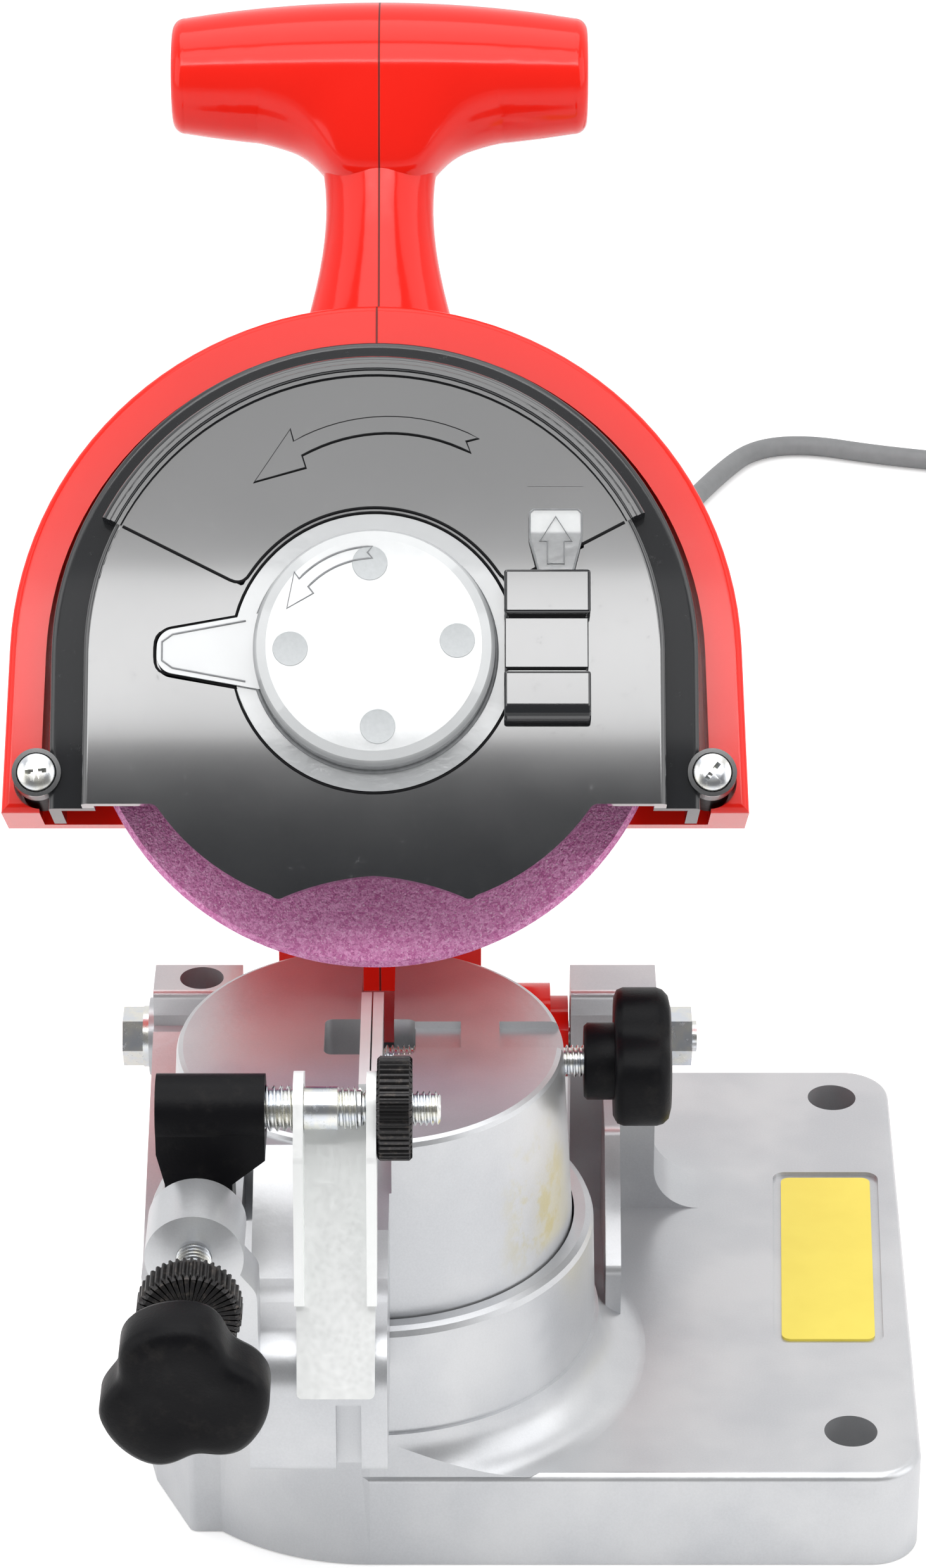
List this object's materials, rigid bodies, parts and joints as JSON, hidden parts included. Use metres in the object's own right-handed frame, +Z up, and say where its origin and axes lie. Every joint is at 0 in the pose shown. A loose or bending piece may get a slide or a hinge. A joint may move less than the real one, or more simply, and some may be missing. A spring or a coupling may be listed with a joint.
{
  "type": "chain sharpener",
  "caption": "Bench saw chain sharpener with a tilting grinding head, guarded disc wheel, swivelling clamp vise, adjustable chain stop and mains cord.",
  "frame": {"origin": "middle of the footprint of the sharpener without its cord, on the bench", "axes": "+X to the right as the user stands before it, +Y to the back, +Z up"},
  "size_m": [0.3914, 0.5791, 0.2387],
  "materials": {
    "silver_paint": "silver paint",
    "red_plastic": "gloss",
    "black_gloss": "gloss",
    "black_plastic": "satin",
    "clear_plastic": "clear",
    "zinc_steel": "zinc plated",
    "black_steel": "blackened",
    "machined_steel": "machined",
    "abrasive": "grainy",
    "core_iron": "plain",
    "copper": "enamelled wire",
    "carbon": "matt",
    "fan_plastic": "satin",
    "yellow_film": "satin film",
    "grey_rubber": "matt",
    "dark_rubber": "matt"
  },
  "bodies": {
    "base": {"base_casting": "silver_paint", "label_plate": "yellow_film", "hinge_bolt": "zinc_steel", "hinge_washers": "zinc_steel", "hinge_nut": "zinc_steel", "return_spring": "machined_steel", "lock_washer": "zinc_steel", "cord": "grey_rubber", "cord_coil": "grey_rubber", "plug": "dark_rubber"},
    "depth_screw": {"depth_stop_screw": "zinc_steel"},
    "turret": {"turret_casting": "silver_paint", "fixed_clamp_plate": "zinc_steel", "turret_stud": "zinc_steel"},
    "jaw": {"moving_clamp_plate": "zinc_steel"},
    "clamp": {"clamp_screw": "zinc_steel", "clamp_knob": "black_plastic"},
    "lock_knob": {"angle_lock_knob": "black_plastic"},
    "holder": {"stop_holder": "black_plastic", "stop_rod": "zinc_steel"},
    "thumb": {"rod_thumb_nut": "black_steel"},
    "adjuster": {"adjuster_screw": "zinc_steel", "adjuster_knob": "black_plastic"},
    "lock_nut": {"adjuster_lock_nut": "black_steel"},
    "flap": {"chain_stop_flap": "zinc_steel"},
    "head": {"housing_left": "red_plastic", "housing_right": "red_plastic", "hinge_sleeve": "zinc_steel", "housing_screws": "zinc_steel", "wheel_guard": "black_gloss", "guard_screws": "zinc_steel", "guard_sleeves": "black_plastic", "spindle_cover": "clear_plastic", "front_bearing": "machined_steel", "rear_bearing": "machined_steel", "stator_core": "core_iron", "field_coils": "copper", "brush_holders": "copper", "carbon_brushes": "carbon", "switch_body": "black_plastic", "cord_gland": "black_plastic"},
    "latch": {"cover_latch": "black_gloss", "latch_tab": "clear_plastic"},
    "rocker": {"switch_rocker": "black_plastic"},
    "spindle": {"motor_shaft": "machined_steel", "armature_core": "core_iron", "armature_windings": "copper", "commutator": "copper", "cooling_fan": "fan_plastic", "inner_flange": "machined_steel", "outer_flange": "machined_steel", "grinding_wheel": "abrasive", "wheel_nut": "machined_steel"}
  },
  "joints": [
    {"name": "head_tilt", "type": "hinge", "parent": "base", "child": "head", "pos_m": [-0.01853, 0.04472, 0.0534], "axis": [1, 0, 0], "range_deg": [0, 10]},
    {"name": "turret_swivel", "type": "hinge", "parent": "base", "child": "turret", "pos_m": [-0.01853, -0.01228, 0.06], "axis": [0, 0, 1], "range_deg": [-35, 35]},
    {"name": "depth_screw_turn", "type": "hinge", "parent": "base", "child": "depth_screw", "pos_m": [-0.00853, 0.06772, 0.0335], "axis": [0, 1, 0], "range_deg": [0, 360]},
    {"name": "jaw_slide", "type": "slide", "parent": "turret", "child": "jaw", "axis": [1, 0, 0], "range_m": [0, 0.0018]},
    {"name": "clamp_turn", "type": "hinge", "parent": "jaw", "child": "clamp", "pos_m": [0.01147, -0.00953, 0.0803], "axis": [1, 0, 0], "range_deg": [0, 648]},
    {"name": "lock_knob_turn", "type": "hinge", "parent": "turret", "child": "lock_knob", "pos_m": [-0.01853, -0.01228, 0.008], "axis": [0, 0, 1], "range_deg": [0, 180]},
    {"name": "stop_slide", "type": "slide", "parent": "turret", "child": "holder", "axis": [0, 1, 0], "range_m": [-0.006, 0]},
    {"name": "thumb_nut_turn", "type": "hinge", "parent": "holder", "child": "thumb", "pos_m": [-0.01353, -0.06628, 0.105], "axis": [1, 0, 0], "range_deg": [0, 360]},
    {"name": "adjuster_turn", "type": "hinge", "parent": "holder", "child": "adjuster", "pos_m": [-0.04693, -0.10228, 0.09], "axis": [0, 1, 0], "range_deg": [-2160, 0]},
    {"name": "lock_nut_turn", "type": "hinge", "parent": "turret", "child": "lock_nut", "pos_m": [-0.04693, -0.10528, 0.09], "axis": [0, 1, 0], "range_deg": [0, 360]},
    {"name": "stop_flap_swing", "type": "hinge", "parent": "holder", "child": "flap", "pos_m": [-0.02353, -0.06628, 0.105], "axis": [1, 0, 0], "range_deg": [-251, 0]},
    {"name": "latch_slide", "type": "slide", "parent": "head", "child": "latch", "axis": [0, 0.6246, 0.781], "range_m": [0, 0.004]},
    {"name": "switch_tip", "type": "hinge", "parent": "head", "child": "rocker", "pos_m": [-0.01753, 0.1095, 0.11208], "axis": [1, 0, 0], "range_deg": [-16, 0]},
    {"name": "spindle_turn", "type": "hinge", "parent": "head", "child": "spindle", "pos_m": [-0.01753, 0.02842, 0.1399], "axis": [0, -0.781, 0.6246], "continuous": true}
  ],
  "couplings": [
    {"joint": "clamp_turn", "follows": "jaw_slide", "rad_per_m": 6283.2},
    {"joint": "adjuster_turn", "follows": "stop_slide", "rad_per_m": 6283.2}
  ]
}
